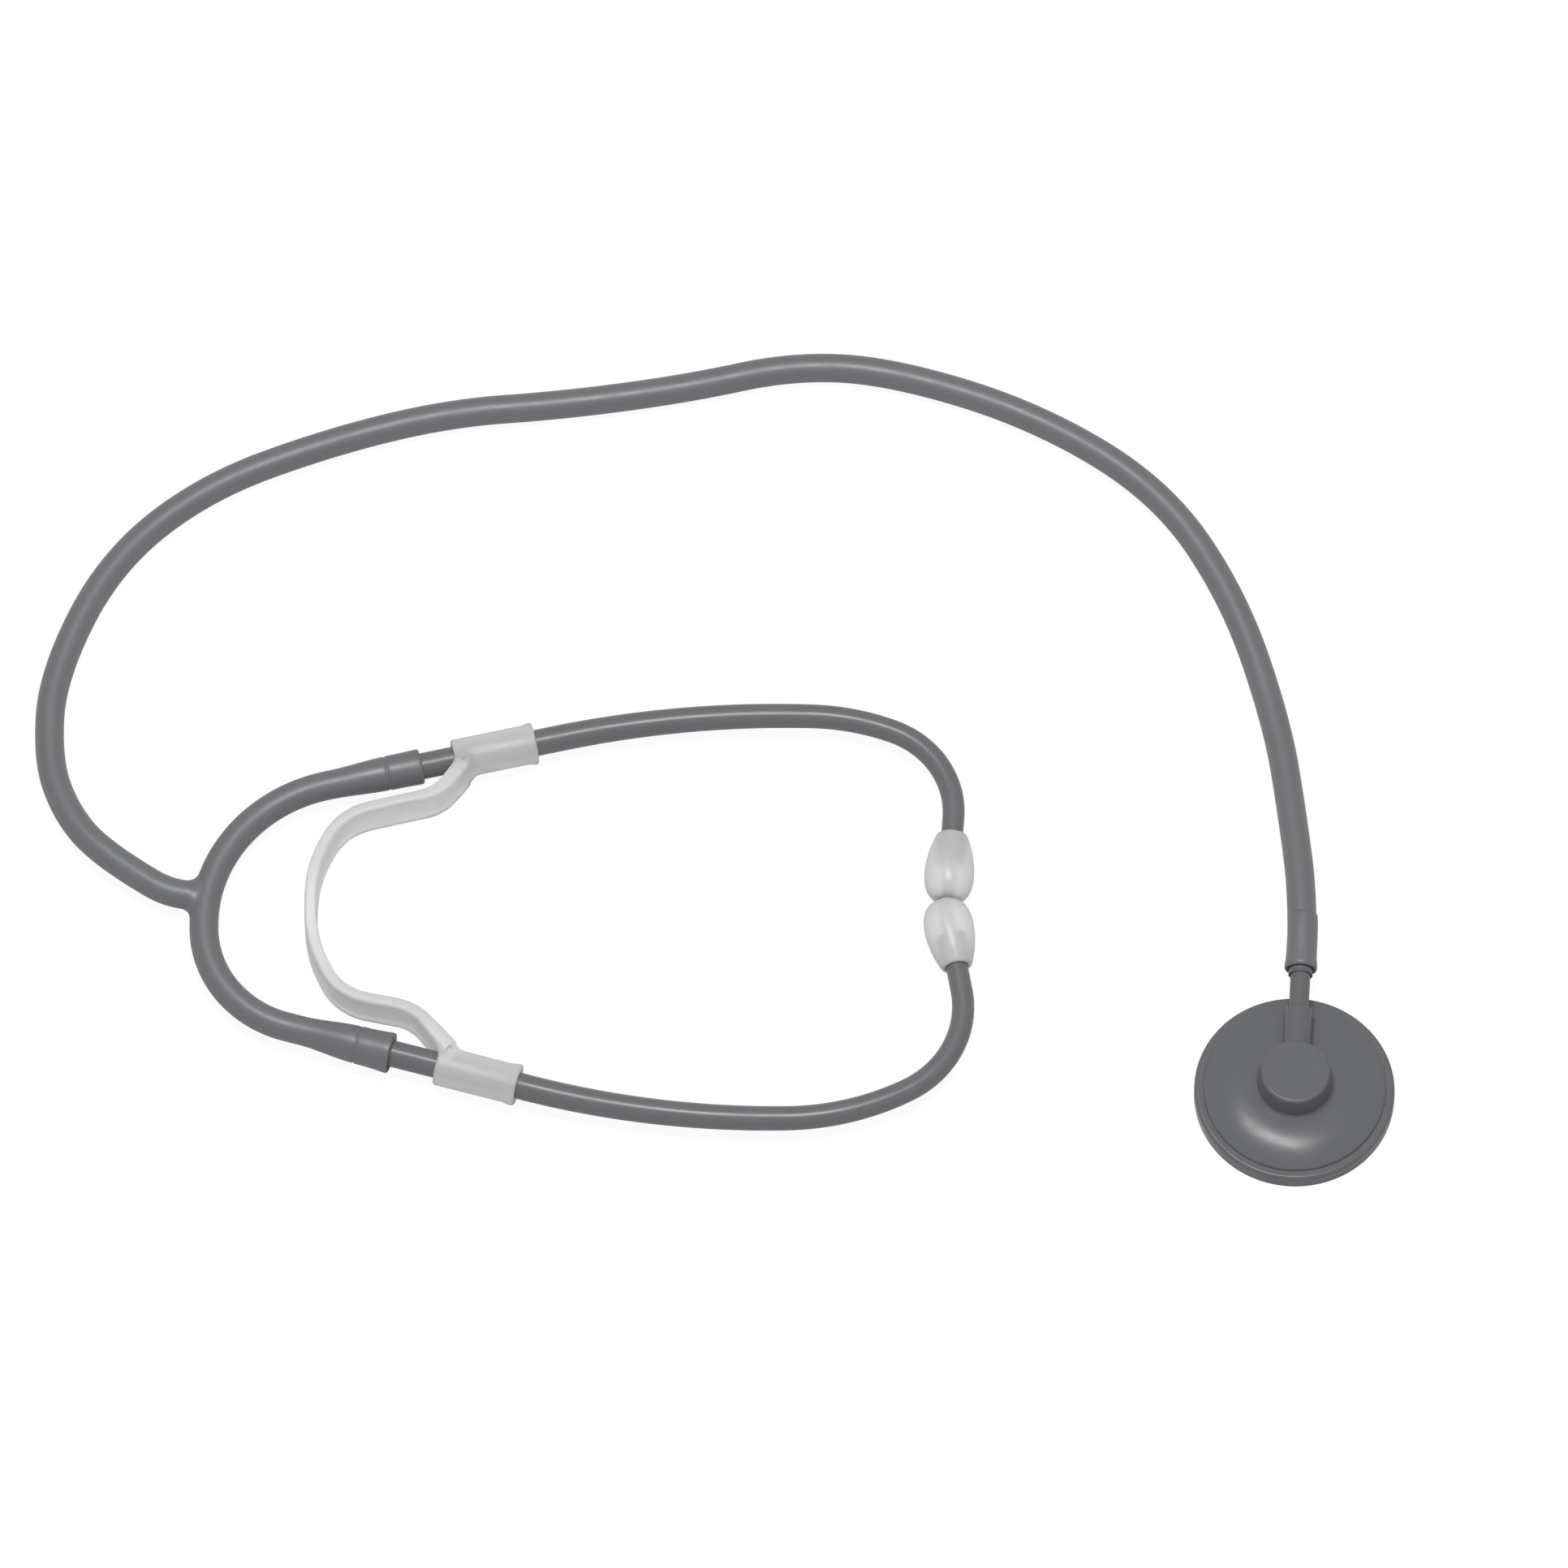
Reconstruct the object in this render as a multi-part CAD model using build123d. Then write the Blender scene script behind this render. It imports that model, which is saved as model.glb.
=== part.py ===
from build123d import *
import math
import os
from collections import namedtuple

# A single-patient stethoscope lying on a table. Millimetres, +Z up. The origin is the
# centre of the chestpiece where its diaphragm ring meets the table.

# Play between pieces
RUNNING_PLAY = 0.05
SEAT_PLAY = 0.02
SPRING_PLAY = 0.15
TIP_GAP = 0.9

# Chestpiece
BODY_FLANGE_OD = 44.4
RING_WALL = 1.8
RING_HEIGHT = 4.4
RING_LIP_REACH = 2.0
RING_LIP = 1.2
RING_EDGE_RADIUS = 0.9
RING_FOOT_CHAMFER = 0.3
SNAP_OVERLAP = 0.35
BODY_FLANGE_HEIGHT = 1.9
BODY_EDGE_HEIGHT = 3.4
BODY_EDGE_RADIUS = 0.7
BODY_WALL = 1.6
DOME_RISE = 2.6
DOME_CROWN = 0.9
CAVITY_STEP = 1.2
DIAPHRAGM_THICKNESS = 0.4
HUB_TOP_OD = 16.4
HUB_BASE_OD = 17.8
HUB_HEIGHT = 6.4
HUB_EDGE_RADIUS = 0.7
HUB_ROOT_RADIUS = 1.0
BOSS_OD = 6.8
BOSS_REACH = 18.2
BOSS_EDGE_RADIUS = 0.4

# Stem, which points a few degrees off +Y
STEM_HEADING = 86.6
STEM_OD = 4.8
STEM_BORE = 2.6
STEM_SEAT = 5.5
STEM_BELOW_HUB_TOP = 4.3
STEM_COLLAR_OD = 5.8
STEM_COLLAR_WIDTH = 1.4
STEM_GRIP = 12.0
STEM_TIP_OD = 4.1
BARB_COUNT = 3
BARB_PITCH = 3.2
BARB_DEPTH = 0.3
BARB_START = 1.5
BARB_RAMP = 2.5
TUBE_MOUTH_REACH = 28.8

# Tubing
TUBE_OD = 7.0
TUBE_BORE = 4.0
TUBE_LIFT = 3.6

# The free tube's route from the chestpiece to the Y: x, y and height of its centre line
ROUTE = [
    (0.4, 71.5, 6.4),
    (-2.9, 97.5, TUBE_LIFT),
    (-12.9, 131.6, TUBE_LIFT),
    (-30.4, 160.8, TUBE_LIFT),
    (-61.0, 181.5, TUBE_LIFT),
    (-96.0, 193.5, TUBE_LIFT),
    (-120.0, 195.0, TUBE_LIFT),
    (-146.0, 188.7, TUBE_LIFT),
    (-176.0, 184.2, TUBE_LIFT),
    (-203.8, 182.0, TUBE_LIFT),
    (-232.8, 174.1, TUBE_LIFT),
    (-263.2, 161.6, TUBE_LIFT),
    (-286.0, 141.1, TUBE_LIFT),
    (-299.3, 110.5, TUBE_LIFT),
    (-300.0, 87.6, 4.0),
    (-295.2, 72.9, 5.2),
]
FIRST_RUN = 17.0
LAST_RUN = 14.5
ARC_SHARE = 0.45

# Ear tips
TIP_OD = 12.0
TIP_LENGTH = 17.2
TIP_NECK_OD = 7.2
TIP_BELLY = 10.6
TIP_NOSE_OD = 5.0
TIP_SOUND_BORE = 2.6
TIP_LIFT = 0.05

# Headset plane and Y piece
HEAD_HEIGHT = TIP_OD / 2 + TIP_LIFT
JUNCTION = (-261.5, 49.8)
STUB_HEADING = 171.0
STUB_STRAIGHT = 5.0
STUB_RADIUS = 20.0
STUB_TURN = 24.0
STUB_ROOT_WIDTH = 11.5
STUB_WAIST_WIDTH = 8.0
STUB_ROOT_LENGTH = 1.2
STUB_WAIST_LENGTH = 3.8
CUFF_LENGTH = 8.5
CUFF_TAPER = 14.0
CUFF_GRIP = 12.0
CUFF_RIDGE = 0.25
CUFF_RIDGE_WIDTH = 1.2

# Ear tubes
EAR_ROOT_OD = 6.4
EAR_END_OD = 5.2
EAR_BORE = 2.8
EAR_END_GRIP = 8.0

# Spring
SLEEVE_OD = 9.6
SLEEVE_LENGTH = 20.0
SLEEVE_CHAMFER = 0.4
LEAF_THICKNESS = 3.0
LEAF_HEIGHT = 11.5
LEAF_EDGE_RADIUS = 0.8

# One side of the headset: where its cuff ends, the way the ear tube leaves it, how wide
# its cuff is and its arm bends, the straight run and bends of its ear tube, how far its
# sleeve stands off the cuff, and the corners and bends of its half of the spring, from the
# sleeve to the bow.
Side = namedtuple("Side", "cuff_end heading cuff_od arm_bend straight bends standoff leaf")

UPPER = Side(
    cuff_end=(-209.7, 84.9),
    heading=12.8,
    cuff_od=8.4,
    arm_bend=37.5,
    straight=34.4,
    bends=[(240.0, -14.6), (58.0, -20.0), (23.0, -72.2)],
    standoff=8.1,
    leaf=[(-198.4, 85.0, 0), (-205.2, 75.7, 11), (-228.5, 70.0, 15), (-235.7, 56.1, 32)],
)
LOWER = Side(
    cuff_end=(-216.1, 8.4),
    heading=-15.6,
    cuff_od=9.2,
    arm_bend=27.5,
    straight=34.1,
    bends=[(216.0, 16.6), (64.0, 27.0), (25.0, 72.0)],
    standoff=11.5,
    leaf=[(-201.0, 6.5, 0), (-210.8, 18.4, 12), (-228.7, 22.1, 14), (-235.9, 36.5, 32)],
)
SIDES = {"upper": UPPER, "lower": LOWER}
TIPS_MEET = 48.7

# Heights in the chestpiece, worked out from the sizes above
BODY_BOTTOM = RING_LIP + DIAPHRAGM_THICKNESS
DOME_EDGE = BODY_BOTTOM + BODY_EDGE_HEIGHT
DOME_TOP = DOME_EDGE + DOME_RISE
HUB_TOP = DOME_TOP + HUB_HEIGHT
STEM_HEIGHT = HUB_TOP - STEM_BELOW_HUB_TOP
SNAP_OD = BODY_FLANGE_OD - 2 * SNAP_OVERLAP
RING_OD = BODY_FLANGE_OD + 2 * RING_WALL
RING_MOUTH = BODY_FLANGE_OD - 2 * RING_LIP_REACH


def heading_vector(degrees):
    """The level unit vector that points this many degrees from +X towards +Y."""
    angle = math.radians(degrees)
    return Vector(math.cos(angle), math.sin(angle), 0)


def along(point, heading, distance, height):
    """The point this far from a plan point along a heading, at a height."""
    return Vector(point[0], point[1], height) + heading_vector(heading) * distance


def facing(origin, heading):
    """A place whose own Z runs level along a heading, with its own Y pointing up."""
    return Location(Plane(origin=origin, x_dir=heading_vector(heading + 90), z_dir=heading_vector(heading)))


def turned(points):
    """A solid turned about Z from corners given as radius and height."""
    return revolve(Plane.XZ * make_face(Polyline(*points, close=True)), Axis.Z)


def rod(diameter, length, start=0.0):
    """A round bar on Z from a start height."""
    return Pos(0, 0, start) * Cylinder(diameter / 2, length, align=(Align.CENTER, Align.CENTER, Align.MIN))


def piped(path, diameter):
    """A round bar along a path."""
    return sweep(Plane(origin=path @ 0, z_dir=path % 0) * Circle(diameter / 2), path)


def circle_at(solid, radius, height):
    """The round edge of a solid on Z that has this radius at this height."""
    return solid.edges().filter_by(GeomType.CIRCLE).sort_by_distance(Vector(radius, 0, height))[0]


def stem_place(distance):
    """A place on the stem's axis, this far out from the centre of the chestpiece."""
    return facing(along((0, 0), STEM_HEADING, distance, STEM_HEIGHT), STEM_HEADING)


def diaphragm_ring():
    """The ring that snaps over the flange and holds the diaphragm against the rim."""
    flange_top = BODY_BOTTOM + BODY_FLANGE_HEIGHT
    seat = BODY_FLANGE_OD / 2 + SEAT_PLAY
    ring = turned([
        (RING_MOUTH / 2, 0),
        (RING_OD / 2, 0),
        (RING_OD / 2, RING_HEIGHT),
        (SNAP_OD / 2 + SEAT_PLAY, RING_HEIGHT),
        (SNAP_OD / 2 + SEAT_PLAY, flange_top + SEAT_PLAY),
        (seat, flange_top + SEAT_PLAY),
        (seat, RING_LIP),
        (RING_MOUTH / 2, RING_LIP),
    ])
    ring = fillet(circle_at(ring, RING_OD / 2, RING_HEIGHT), RING_EDGE_RADIUS)
    return chamfer([circle_at(ring, RING_OD / 2, 0), circle_at(ring, RING_MOUTH / 2, 0)], RING_FOOT_CHAMFER)


def diaphragm():
    """The thin stiff disc that picks up the sound."""
    return rod(BODY_FLANGE_OD - 2 * SEAT_PLAY, DIAPHRAGM_THICKNESS, RING_LIP)


def chest_body():
    """The shallow domed bell with its hub and the boss that takes the stem."""
    flange_top = BODY_BOTTOM + BODY_FLANGE_HEIGHT
    edge = (SNAP_OD / 2, DOME_EDGE)
    crown = (HUB_BASE_OD / 2, DOME_TOP)
    middle = ((edge[0] + crown[0]) / 2, (edge[1] + crown[1]) / 2 + DOME_CROWN)
    profile = Curve() + [
        Polyline(
            (0, BODY_BOTTOM),
            (BODY_FLANGE_OD / 2, BODY_BOTTOM),
            (BODY_FLANGE_OD / 2, flange_top),
            (SNAP_OD / 2, flange_top),
            edge,
        ),
        ThreePointArc(edge, middle, crown),
        Polyline(crown, (0, DOME_TOP), (0, BODY_BOTTOM)),
    ]
    body = revolve(Plane.XZ * make_face(profile), Axis.Z)
    body = fillet(circle_at(body, SNAP_OD / 2, DOME_EDGE), BODY_EDGE_RADIUS)

    root = (HUB_BASE_OD / 2 + HUB_ROOT_RADIUS, DOME_TOP)
    foot = (HUB_BASE_OD / 2, DOME_TOP + HUB_ROOT_RADIUS)
    inset = HUB_ROOT_RADIUS * (1 - math.sqrt(0.5))
    outline = Curve() + [
        Polyline((0, BODY_BOTTOM + BODY_WALL), (root[0], BODY_BOTTOM + BODY_WALL), root),
        ThreePointArc(root, (foot[0] + inset, root[1] + inset), foot),
        Polyline(foot, (HUB_TOP_OD / 2, HUB_TOP), (0, HUB_TOP), (0, BODY_BOTTOM + BODY_WALL)),
    ]
    hub = revolve(Plane.XZ * make_face(outline), Axis.Z)
    hub = fillet(circle_at(hub, HUB_TOP_OD / 2, HUB_TOP), HUB_EDGE_RADIUS)
    boss = stem_place(0) * rod(BOSS_OD, BOSS_REACH)
    boss = fillet(boss.edges().filter_by(GeomType.CIRCLE).sort_by(Axis.Y)[-1], BOSS_EDGE_RADIUS)
    body += hub + boss

    rim = RING_MOUTH / 2 - CAVITY_STEP
    cavity = turned([
        (0, BODY_BOTTOM),
        (rim, BODY_BOTTOM),
        (rim, BODY_BOTTOM + CAVITY_STEP),
        (STEM_BORE / 2, DOME_TOP - BODY_WALL),
        (0, DOME_TOP - BODY_WALL),
    ])
    body -= cavity
    body -= rod(STEM_BORE, STEM_HEIGHT - BODY_BOTTOM, BODY_BOTTOM)
    body -= stem_place(0) * rod(STEM_BORE, STEM_SEAT)
    body -= stem_place(STEM_SEAT) * rod(STEM_OD + 2 * SEAT_PLAY, BOSS_REACH)
    return body


def stem():
    """The straight sound tube, with a collar at the tubing's mouth and barbs inside it."""
    length = TUBE_MOUTH_REACH - STEM_SEAT + STEM_GRIP
    mouth = TUBE_MOUTH_REACH - STEM_SEAT
    body = rod(STEM_OD, mouth)
    body += rod(STEM_COLLAR_OD, STEM_COLLAR_WIDTH, mouth - STEM_COLLAR_WIDTH - RUNNING_PLAY)
    corners = [(0, mouth), (STEM_OD / 2, mouth)]
    neck = STEM_OD / 2 - BARB_DEPTH
    for index in range(BARB_COUNT):
        start = mouth + BARB_START + index * BARB_PITCH
        corners += [(neck, start), (STEM_OD / 2, start), (neck, start + BARB_RAMP)]
    corners += [(STEM_TIP_OD / 2, length), (0, length)]
    body += turned(corners)
    body -= rod(STEM_BORE, length)
    return stem_place(STEM_SEAT + SEAT_PLAY) * body


def stub_path():
    """The stub of the Y: straight out of the bow, then bent to meet the free tube."""
    foot = Vector(*JUNCTION, HEAD_HEIGHT)
    straight = Line(foot, along(JUNCTION, STUB_HEADING, STUB_STRAIGHT, HEAD_HEIGHT))
    return [straight, JernArc(straight @ 1, straight % 1, STUB_RADIUS, -STUB_TURN)]


def route_points():
    """Every corner of the free tube's route, with its ends on the stem's and the stub's axes."""
    mouth = along((0, 0), STEM_HEADING, TUBE_MOUTH_REACH, STEM_HEIGHT)
    leaving = along((0, 0), STEM_HEADING, TUBE_MOUTH_REACH + FIRST_RUN, STEM_HEIGHT)
    stub_end = stub_path()[-1] @ 1
    arriving = stub_end + heading_vector(STUB_HEADING - STUB_TURN) * LAST_RUN
    return [mouth, leaving] + [Vector(*point) for point in ROUTE] + [arriving, stub_end]


def route_radii(points):
    """The bend radius at each corner: as large as its two runs allow."""
    radii = []
    for before, corner, after in zip(points, points[1:], points[2:]):
        arriving = corner - before
        leaving = after - corner
        half_turn = math.radians(arriving.get_angle(leaving)) / 2
        radii.append(ARC_SHARE * min(arriving.length, leaving.length) / math.tan(half_turn))
    return radii


def main_tube():
    """The long free tube from the chestpiece's stem to the Y piece."""
    points = route_points()
    radii = route_radii(points)
    path = FilletPolyline(*points, radius=radii)
    section = math.pi / 4 * (TUBE_OD ** 2 - TUBE_BORE ** 2)
    tube = piped(path, TUBE_OD) - piped(path, TUBE_BORE)
    print("tube radii", [round(radius) for radius in radii])
    print("tube length", round(path.length, 1), "volume share", round(tube.volume / section / path.length, 4))
    grip = rod(STEM_OD + 2 * RUNNING_PLAY, STEM_GRIP + RUNNING_PLAY)
    return tube - stem_place(TUBE_MOUTH_REACH) * grip


def cuff_place(side, distance):
    """A place on a side's straight axis, this far out from the end of its cuff."""
    return facing(along(side.cuff_end, side.heading, distance, HEAD_HEIGHT), side.heading)


def y_tube():
    """The moulded Y: a bowed tube with a cuff at each end, and the stub of the long tube."""
    corners = [Vector(*UPPER.cuff_end, HEAD_HEIGHT)]
    for side in (UPPER, LOWER):
        reach = (JUNCTION[0] - side.cuff_end[0]) / math.cos(math.radians(side.heading))
        corners.append(along(side.cuff_end, side.heading, reach, HEAD_HEIGHT))
    corners.append(Vector(*LOWER.cuff_end, HEAD_HEIGHT))
    bow = FilletPolyline(*corners, radius=[UPPER.arm_bend, LOWER.arm_bend])

    stub_place = facing(Vector(*JUNCTION, HEAD_HEIGHT), STUB_HEADING)
    stub_bend = stub_path()[-1]
    body = piped(bow, TUBE_OD) + piped(stub_bend, TUBE_OD)
    flare = loft([
        Pos(0, 0, STUB_ROOT_LENGTH) * Ellipse(STUB_ROOT_WIDTH / 2, TUBE_OD / 2 - SEAT_PLAY),
        Pos(0, 0, STUB_WAIST_LENGTH) * Ellipse(STUB_WAIST_WIDTH / 2, TUBE_OD / 2),
        Pos(0, 0, STUB_STRAIGHT) * Circle(TUBE_OD / 2),
    ])
    body += stub_place * flare
    for side in SIDES.values():
        ridge = CUFF_LENGTH - CUFF_RIDGE_WIDTH
        cuff = turned([
            (0, 0),
            (side.cuff_od / 2, 0),
            (side.cuff_od / 2, ridge),
            (side.cuff_od / 2 - CUFF_RIDGE, CUFF_LENGTH - CUFF_RIDGE_WIDTH / 2),
            (side.cuff_od / 2 - CUFF_RIDGE / 2, CUFF_LENGTH),
            (TUBE_OD / 2, CUFF_LENGTH + CUFF_TAPER),
            (0, CUFF_LENGTH + CUFF_TAPER),
        ])
        body += cuff_place(side, 0) * (Rot(0, 180, 0) * cuff)
    body -= piped(bow, TUBE_BORE)
    body -= stub_place * rod(TUBE_BORE, STUB_STRAIGHT)
    body -= piped(stub_bend, TUBE_BORE)
    for side in SIDES.values():
        body -= cuff_place(side, -CUFF_GRIP - RUNNING_PLAY) * rod(EAR_ROOT_OD + 2 * RUNNING_PLAY, CUFF_GRIP + RUNNING_PLAY)
    return body


def ear_path(side):
    """A side's ear tube as edges: its straight run from the end of the cuff, its bends, and
    a straight run to the plane where the two tips meet."""
    start = Vector(*side.cuff_end)
    edges = [Line(start, start + heading_vector(side.heading) * side.straight)]
    for radius, turn in side.bends:
        edges.append(JernArc(edges[-1] @ 1, edges[-1] % 1, radius, turn))
    corner = edges[-1] @ 1
    direction = edges[-1] % 1
    reach = (TIPS_MEET - corner.Y) / direction.Y - TIP_GAP / 2
    edges.append(Line(corner, corner + direction * reach))
    return edges


def tip_place(side):
    """The place of a side's ear tip: its neck end, with Z running out of the ear tube."""
    last = ear_path(side)[-1]
    direction = last % 1
    heading = math.degrees(math.atan2(direction.Y, direction.X))
    end = last @ 1
    return facing(along((end.X, end.Y), heading, -TIP_LENGTH, HEAD_HEIGHT), heading)


def ear_tube(side):
    """A rigid ear tube: straight through cuff and sleeve, then bowed and tapering to its tip."""
    edges = ear_path(side)
    last = edges[-1]
    tip_entry = last @ 1 - (last % 1) * (TIP_LENGTH - EAR_END_GRIP)
    edges[-1] = Line(last @ 0, tip_entry)
    bends = Wire(edges[1:])
    rooted = Plane(origin=bends @ 0, z_dir=bends % 0)
    ended = Plane(origin=bends @ 1, z_dir=bends % 1)
    outside = sweep([rooted * Circle(EAR_ROOT_OD / 2), ended * Circle(EAR_END_OD / 2)], bends, multisection=True)
    bore = piped(bends, EAR_BORE)
    length = CUFF_GRIP + side.straight
    straight = cuff_place(side, -CUFF_GRIP) * (rod(EAR_ROOT_OD, length) - rod(EAR_BORE, length))
    return straight + Pos(0, 0, HEAD_HEIGHT) * (outside - bore)


def ear_tip(side):
    """An egg-shaped tip: narrow where the tube enters, full near its rounded ear end."""
    belly = (TIP_OD / 2, TIP_BELLY)
    neck = (TIP_NECK_OD / 2, 0)
    nose = (TIP_NOSE_OD / 2, TIP_LENGTH)
    profile = Curve() + [
        Line((0, 0), neck),
        Spline(neck, belly, nose, tangents=[(0.35, 1), (-1, 0.35)]),
        Line(nose, (0, TIP_LENGTH)),
        Line((0, TIP_LENGTH), (0, 0)),
    ]
    tip = revolve(Plane.XZ * make_face(profile), Axis.Z)
    tip -= rod(EAR_END_OD + 2 * RUNNING_PLAY, EAR_END_GRIP + RUNNING_PLAY)
    tip -= rod(TIP_SOUND_BORE, TIP_LENGTH)
    return tip_place(side) * tip


def spring_sleeve(side):
    """The round sleeve of the spring that grips an ear tube."""
    sleeve = rod(SLEEVE_OD, SLEEVE_LENGTH)
    sleeve = chamfer(sleeve.edges().filter_by(GeomType.CIRCLE), SLEEVE_CHAMFER)
    sleeve -= rod(EAR_ROOT_OD + 2 * RUNNING_PLAY, SLEEVE_LENGTH)
    return cuff_place(side, side.standoff) * sleeve


def spring_leaf():
    """The U-shaped band, standing on edge, whose ends meet the two sleeves."""
    corners = UPPER.leaf + LOWER.leaf[::-1]
    points = [Vector(x, y, HEAD_HEIGHT) for x, y, radius in corners]
    path = FilletPolyline(*points, radius=[radius for x, y, radius in corners[1:-1]])
    start = Plane(origin=path @ 0, x_dir=(0, 0, 1), z_dir=path % 0)
    leaf = sweep(start * RectangleRounded(LEAF_HEIGHT, LEAF_THICKNESS, LEAF_EDGE_RADIUS), path)
    for side in SIDES.values():
        leaf -= cuff_place(side, side.standoff - SLEEVE_OD) * rod(SLEEVE_OD + 2 * SPRING_PLAY, 2 * SLEEVE_LENGTH)
    return leaf


def main():
    os.makedirs("parts", exist_ok=True)
    pieces = {
        "chest_body": chest_body(),
        "stem": stem(),
        "diaphragm": diaphragm(),
        "diaphragm_ring": diaphragm_ring(),
        "main_tube": main_tube(),
        "y_tube": y_tube(),
        "spring_leaf": spring_leaf(),
    }
    for name, side in SIDES.items():
        pieces["spring_sleeve_" + name] = spring_sleeve(side)
        pieces["ear_tube_" + name] = ear_tube(side)
        pieces["ear_tip_" + name] = ear_tip(side)
    for name, piece in pieces.items():
        export_step(piece, "parts/" + name + ".step")


main()
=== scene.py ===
import math
import bmesh
import bpy
import numpy as np
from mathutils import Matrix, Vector


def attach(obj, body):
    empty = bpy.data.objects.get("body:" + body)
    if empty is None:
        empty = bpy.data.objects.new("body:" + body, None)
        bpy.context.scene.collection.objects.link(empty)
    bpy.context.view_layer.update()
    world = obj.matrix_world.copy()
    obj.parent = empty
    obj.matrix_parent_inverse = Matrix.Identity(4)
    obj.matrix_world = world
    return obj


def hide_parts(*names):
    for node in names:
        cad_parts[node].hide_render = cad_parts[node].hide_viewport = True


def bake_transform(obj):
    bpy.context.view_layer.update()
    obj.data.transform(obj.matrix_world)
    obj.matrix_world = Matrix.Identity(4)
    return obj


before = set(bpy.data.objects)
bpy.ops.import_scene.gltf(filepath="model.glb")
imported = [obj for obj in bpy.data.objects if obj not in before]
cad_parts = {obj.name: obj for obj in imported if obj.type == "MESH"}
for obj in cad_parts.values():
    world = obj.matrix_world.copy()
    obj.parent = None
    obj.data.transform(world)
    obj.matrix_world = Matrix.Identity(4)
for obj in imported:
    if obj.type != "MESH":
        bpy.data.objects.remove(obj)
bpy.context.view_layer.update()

MM = 0.001

# Sizes repeated from the part, in millimetres and degrees
STEM_HEADING = 86.6
STEM_HEIGHT = 9.7
TUBE_MOUTH_REACH = 28.8
TUBE_OD = 7.0
TUBE_LIFT = 3.6
HEAD_HEIGHT = 6.05
FIRST_RUN = 17.0
LAST_RUN = 14.5
JUNCTION = (-261.5, 49.8)
STUB_HEADING = 171.0
STUB_STRAIGHT = 5.0
STUB_RADIUS = 20.0
STUB_TURN = 24.0
CUFF_LENGTH = 8.5
CUFF_TAPER = 14.0
CUFF_GRIP = 12.0
EAR_ROOT_OD = 6.4
EAR_END_OD = 5.2
EAR_END_GRIP = 8.0
TIP_OD = 12.0
TIP_LENGTH = 17.2
TIP_NECK_OD = 7.2
TIP_BELLY = 10.6
TIP_NOSE_OD = 5.0
TIPS_MEET = 48.7
TIP_GAP = 0.9
SLEEVE_OD = 9.6
SLEEVE_LENGTH = 20.0
LEAF_THICKNESS = 3.0
LEAF_HEIGHT = 11.5
ROUTE = [
    (0.4, 71.5, 6.4),
    (-2.9, 97.5, TUBE_LIFT),
    (-12.9, 131.6, TUBE_LIFT),
    (-30.4, 160.8, TUBE_LIFT),
    (-61.0, 181.5, TUBE_LIFT),
    (-96.0, 193.5, TUBE_LIFT),
    (-120.0, 195.0, TUBE_LIFT),
    (-146.0, 188.7, TUBE_LIFT),
    (-176.0, 184.2, TUBE_LIFT),
    (-203.8, 182.0, TUBE_LIFT),
    (-232.8, 174.1, TUBE_LIFT),
    (-263.2, 161.6, TUBE_LIFT),
    (-286.0, 141.1, TUBE_LIFT),
    (-299.3, 110.5, TUBE_LIFT),
    (-300.0, 87.6, 4.0),
    (-295.2, 72.9, 5.2),
]

# The two sides of the headset, as the part has them. The seam is how far from the cuff's end
# an arm of the Y starts to be one piece with the junction, and flare is how much its cuff opens
# at the end. The ear tube runs straight and then through its bends, each a radius and a turn.
# The standoff is the way from the cuff to the sleeve, and leaf holds the corners of this side's
# half band. The y side is 1 where the side lies towards +Y, and -1 where it doesn't. The sway
# points are where the soft pieces would start and stop bending as the spring opens; they are
# read but nothing bends the pieces.
SIDES = {
    "upper": {
        "cuff_end": (-209.7, 84.9),
        "heading": 12.8,
        "cuff_od": 8.4,
        "y_side": 1,
        "arm_bend": 37.5,
        "seam": 54.0,
        "flare": 0.1,
        "straight": 34.4,
        "bends": [(240.0, -14.6), (58.0, -20.0), (23.0, -72.2)],
        "standoff": 8.1,
        "leaf": [(-199.4, 83.6), (-205.2, 75.7), (-228.5, 70.0), (-235.7, 56.1)],
        "leaf_bends": [11.0, 15.0, 32.0],
        "arm_sway": ((-256.2, 61.5), (-220.0, 82.4)),
        "leaf_sway": ((-236.5, 48.5), (-206.4, 76.5)),
    },
    "lower": {
        "cuff_end": (-216.1, 8.4),
        "heading": -15.6,
        "cuff_od": 9.2,
        "y_side": -1,
        "arm_bend": 27.5,
        "seam": 54.9,
        "flare": 0.35,
        "straight": 34.1,
        "bends": [(216.0, 16.6), (64.0, 27.0), (25.0, 72.0)],
        "standoff": 11.5,
        "leaf": [(-202.1, 7.9), (-210.8, 18.4), (-228.7, 22.1), (-235.9, 36.5)],
        "leaf_bends": [12.0, 14.0, 32.0],
        "arm_sway": ((-259.6, 34.0), (-226.0, 11.6)),
        "leaf_sway": ((-236.5, 44.5), (-210.4, 16.0)),
    },
}

# The free tube's end over the stem, as radius and distance from its mouth
MOUTH_OUTLINE = [
    (2.6, 3.0),
    (2.6, 0.3),
    (2.9, 0.0),
    (3.5, 0.0),
    (3.85, 0.25),
    (3.95, 0.8),
    (3.9, 1.6),
    (3.75, 2.8),
    (3.68, 5.0),
    (3.66, 9.0),
    (3.62, 11.5),
    (3.52, 13.5),
    (3.42, 14.5),
]

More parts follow.
